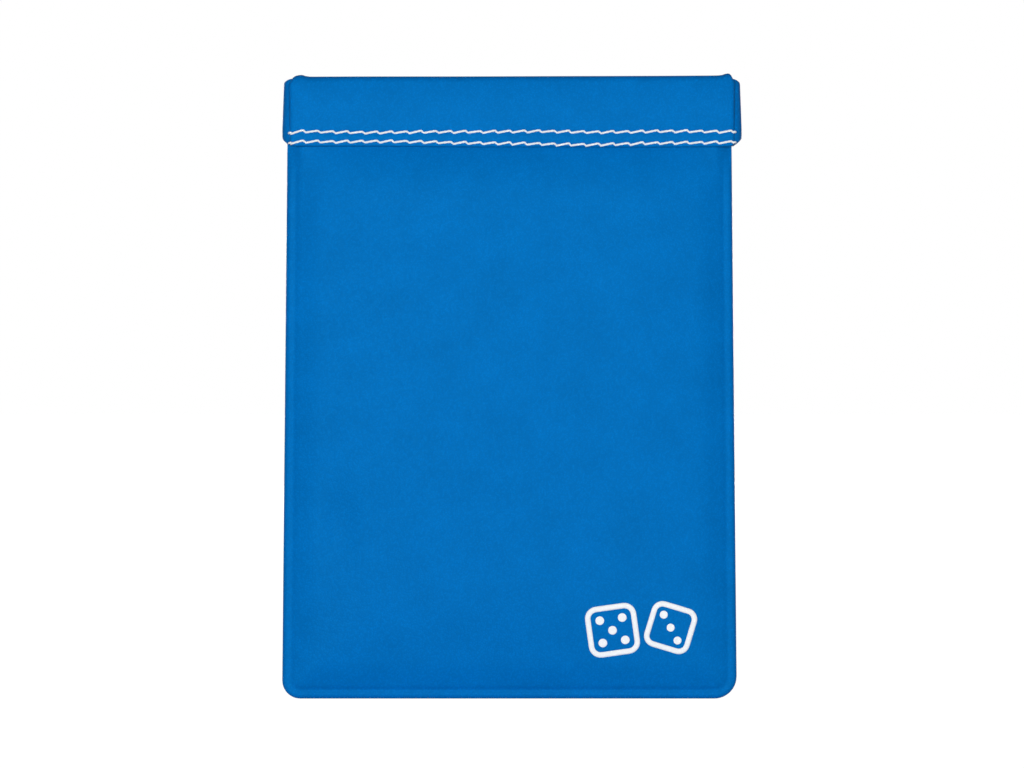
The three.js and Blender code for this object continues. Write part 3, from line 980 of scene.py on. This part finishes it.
def coat(shell, u, v, centre, tilt, loop=False):
    """A thin body of ink over a grid of u and v."""
    x, z = placed(u, v, centre, tilt)
    outer, inner = print_points(x, z, INK_LIFT), print_points(x, z, INK_UNDER)
    shell.ply(outer, inner, np.stack([x, z], axis=-1), loop=loop, inner_skin=0)


def rounded_square(half, corner, steps=8):
    """Points and outward directions round a square with rounded corners."""
    points, outward = [], []
    for quarter in range(4):
        turn = quarter * math.pi / 2
        centre = np.array([half - corner, half - corner])
        for a in np.linspace(0, math.pi / 2, steps):
            direction = np.array([math.cos(a), math.sin(a)])
            spin = np.array([[math.cos(turn), -math.sin(turn)], [math.sin(turn), math.cos(turn)]])
            points.append(spin @ (centre + corner * direction))
            outward.append(spin @ direction)
        start = points[-1]
        end = start + spin @ np.array([-2 * (half - corner), 0])
        for t in np.linspace(0, 1, 8)[1:-1]:
            points.append(start + (end - start) * t)
            outward.append(outward[-1])
    return np.array(points), np.array(outward)


def die(shell, centre, half, tilt, pips):
    """The outline of one face of a die, and its pips."""
    points, outward = rounded_square(half - STROKE / 2, half * 0.36)
    across = np.linspace(-STROKE / 2, STROKE / 2, 4)[:, None]
    u = points[None, :, 0] + across * outward[None, :, 0]
    v = points[None, :, 1] + across * outward[None, :, 1]
    coat(shell, u, v, centre, tilt, loop=True)
    square_u, square_v = np.meshgrid(np.linspace(-1, 1, 9), np.linspace(-1, 1, 9))
    disc_u = square_u * np.sqrt(1 - square_v**2 / 2)
    disc_v = square_v * np.sqrt(1 - square_u**2 / 2)
    radius, reach = half * 0.17, half * 0.44
    for pu, pv in pips:
        coat(shell, pu * reach + disc_u * radius, pv * reach + disc_v * radius, centre, tilt)


shell = Shell()
die(shell, (23.0, 16.0), 5.9, math.radians(8), [(-1, -1), (-1, 1), (0, 0), (1, -1), (1, 1)])
die(shell, (36.3, 16.6), 5.4, math.radians(-17), [(-1, 1), (0, 0), (1, -1)])
mark = shell.piece("front_print", [INK])
ride_panel(mark)


# ---- camera, floor and lights ----

scene = bpy.context.scene
scene.view_settings.view_transform = "Standard"

camera = bpy.data.objects.new("camera", bpy.data.cameras.new("camera"))
camera.data.lens = 100
camera.data.sensor_width = 36
camera.data.clip_start = 0.01
camera.location = (0, -0.6548, 0.07235)  # square on to the front, at half its height
camera.rotation_euler = (math.pi / 2, 0, 0)
scene.collection.objects.link(camera)
scene.camera = camera

FLOOR_REACH = 6.0
FLOOR_Z = -0.0002
floor_mesh = bpy.data.meshes.new("floor")
corners = [(x * FLOOR_REACH, y * FLOOR_REACH) for x, y in ((-1, -1), (1, -1), (1, 1), (-1, 1))]
floor_mesh.from_pydata([(x, y, FLOOR_Z) for x, y in corners], [], [(0, 1, 2, 3)])
floor = bpy.data.objects.new("floor", floor_mesh)
scene.collection.objects.link(floor)


def seen_white(tree, plain, output, glow, share):
    """Shows the camera that share of glow, while the light that falls on the pouch is plain."""
    path = tree.nodes.new("ShaderNodeLightPath")
    mix = tree.nodes.new("ShaderNodeMixShader")
    scale = tree.nodes.new("ShaderNodeMath")
    scale.operation = "MULTIPLY"
    scale.inputs[1].default_value = share
    links = tree.links
    links.new(path.outputs["Is Camera Ray"], scale.inputs[0])
    links.new(scale.outputs[0], mix.inputs[0])
    links.new(plain, mix.inputs[1])
    links.new(glow, mix.inputs[2])
    links.new(mix.outputs[0], output)


pale = bpy.data.materials.new("pale_floor")
pale.use_nodes = True
tree = pale.node_tree
shader = tree.nodes["Principled BSDF"]
shader.inputs["Base Color"].default_value = (0.8, 0.8, 0.8, 1)
shader.inputs["Roughness"].default_value = 0.9
glow = tree.nodes.new("ShaderNodeEmission")
glow.inputs["Strength"].default_value = 1.12
surface = tree.nodes["Material Output"].inputs["Surface"]
seen_white(tree, shader.outputs[0], surface, glow.outputs[0], 0.9)
floor_mesh.materials.append(pale)

world = bpy.data.worlds.new("studio")
scene.world = world
world.use_nodes = True
tree = world.node_tree
ambient = tree.nodes["Background"]
ambient.inputs["Color"].default_value = (1, 1, 1, 1)
ambient.inputs["Strength"].default_value = 0.14
backdrop = tree.nodes.new("ShaderNodeBackground")
backdrop.inputs["Color"].default_value = (1, 1, 1, 1)
surface = tree.nodes["World Output"].inputs["Surface"]
seen_white(tree, ambient.outputs[0], surface, backdrop.outputs[0], 1.0)


def softbox(name, place, aim, size, power):
    light = bpy.data.lights.new(name, "AREA")
    light.size = size
    light.energy = power
    lamp = bpy.data.objects.new(name, light)
    lamp.location = place
    lamp.rotation_euler = (Vector(aim) - Vector(place)).to_track_quat("-Z", "Y").to_euler()
    scene.collection.objects.link(lamp)


middle = (0, 0, 0.07)  # of the pouch
softbox("key", (-0.27, -1.3, 0.15), middle, 0.3, 9.7)
softbox("fill", (0.36, -1.3, 0.1), middle, 0.2, 5.0)
softbox("back_key", (-0.3, 1.3, 0.3), middle, 0.4, 9.0)
softbox("back_fill", (0.36, 1.3, 0.1), middle, 0.2, 4.5)
